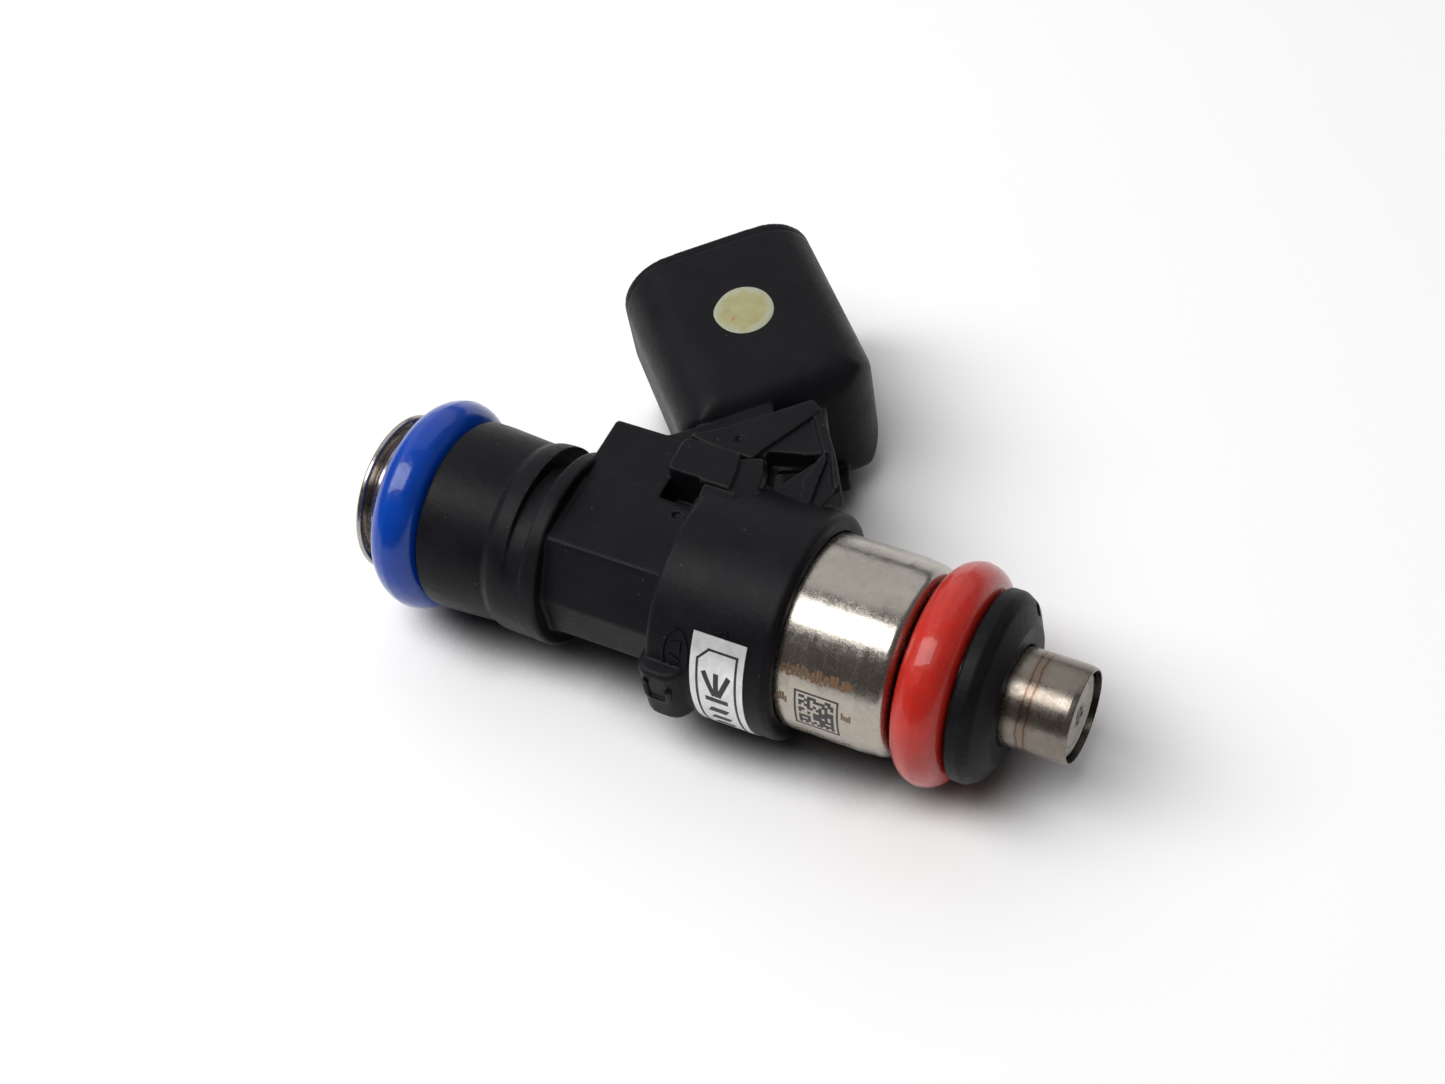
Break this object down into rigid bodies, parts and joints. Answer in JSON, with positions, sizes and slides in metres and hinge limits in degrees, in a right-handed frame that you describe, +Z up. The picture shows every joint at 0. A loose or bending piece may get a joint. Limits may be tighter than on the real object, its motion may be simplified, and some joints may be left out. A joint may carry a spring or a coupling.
{
  "type": "fuel injector",
  "caption": "Port fuel injector: steel valve tube and coil shell in a black moulding with a tilted socket, two O-rings and a solenoid needle valve.",
  "frame": {"origin": "centre of the spray plate's outer face, on the injector axis", "axes": "+X along the injector axis towards the nozzle, +Y towards the connector side, +Z up with the injector lying on its side"},
  "size_m": [0.0492, 0.0361, 0.015],
  "materials": {
    "housing_plastic": "moulded black glass-filled nylon, fine matte grain",
    "tube_steel": "drawn stainless steel, polished",
    "shell_steel": "deep-drawn stainless steel, satin nickel tone with handling marks",
    "nozzle_steel": "ground stainless steel with heat-tinted weld rings",
    "blue_rubber": "blue oiled elastomer, glossy",
    "red_rubber": "red oiled elastomer, glossy with scuffs",
    "retainer_plastic": "moulded black plastic, satin",
    "bobbin_plastic": "moulded plastic",
    "copper_wire": "enamelled copper wire",
    "magnetic_steel": "machined soft magnetic steel",
    "brass": "turned brass",
    "spring_steel": "spring steel wire",
    "valve_steel": "hardened and lapped steel",
    "plate_steel": "stamped stainless foil",
    "filter_plastic": "moulded nylon",
    "filter_mesh": "woven nylon mesh",
    "tin_plated": "tin-plated copper alloy",
    "label_film": "silver-grey printed film"
  },
  "bodies": {
    "body": {"overmold_housing": "housing_plastic", "valve_tube": "tube_steel", "magnet_shell": "shell_steel", "nozzle_sleeve": "nozzle_steel", "upper_o_ring": "blue_rubber", "lower_o_ring": "red_rubber", "lower_retainer": "retainer_plastic", "coil_bobbin": "bobbin_plastic", "coil_winding": "copper_wire", "flux_washer": "magnetic_steel", "pole_core": "magnetic_steel", "adjusting_sleeve": "brass", "filter_collar": "brass", "return_spring": "spring_steel", "valve_seat": "valve_steel", "spray_plate": "plate_steel", "filter_cage": "filter_plastic", "filter_screen": "filter_mesh", "terminal_left": "tin_plated", "terminal_right": "tin_plated", "coil_lead_left": "copper_wire", "coil_lead_right": "copper_wire", "label": "label_film"},
    "needle": {"armature": "magnetic_steel", "needle_tube": "valve_steel", "valve_ball": "valve_steel"}
  },
  "joints": [
    {"name": "needle_lift", "type": "slide", "parent": "body", "child": "needle", "axis": [-1, 0, 0], "range_m": [0, 0.0001], "stiffness_N_per_m": 5000, "springref_m": -0.0006, "deforming": ["return_spring"]}
  ]
}
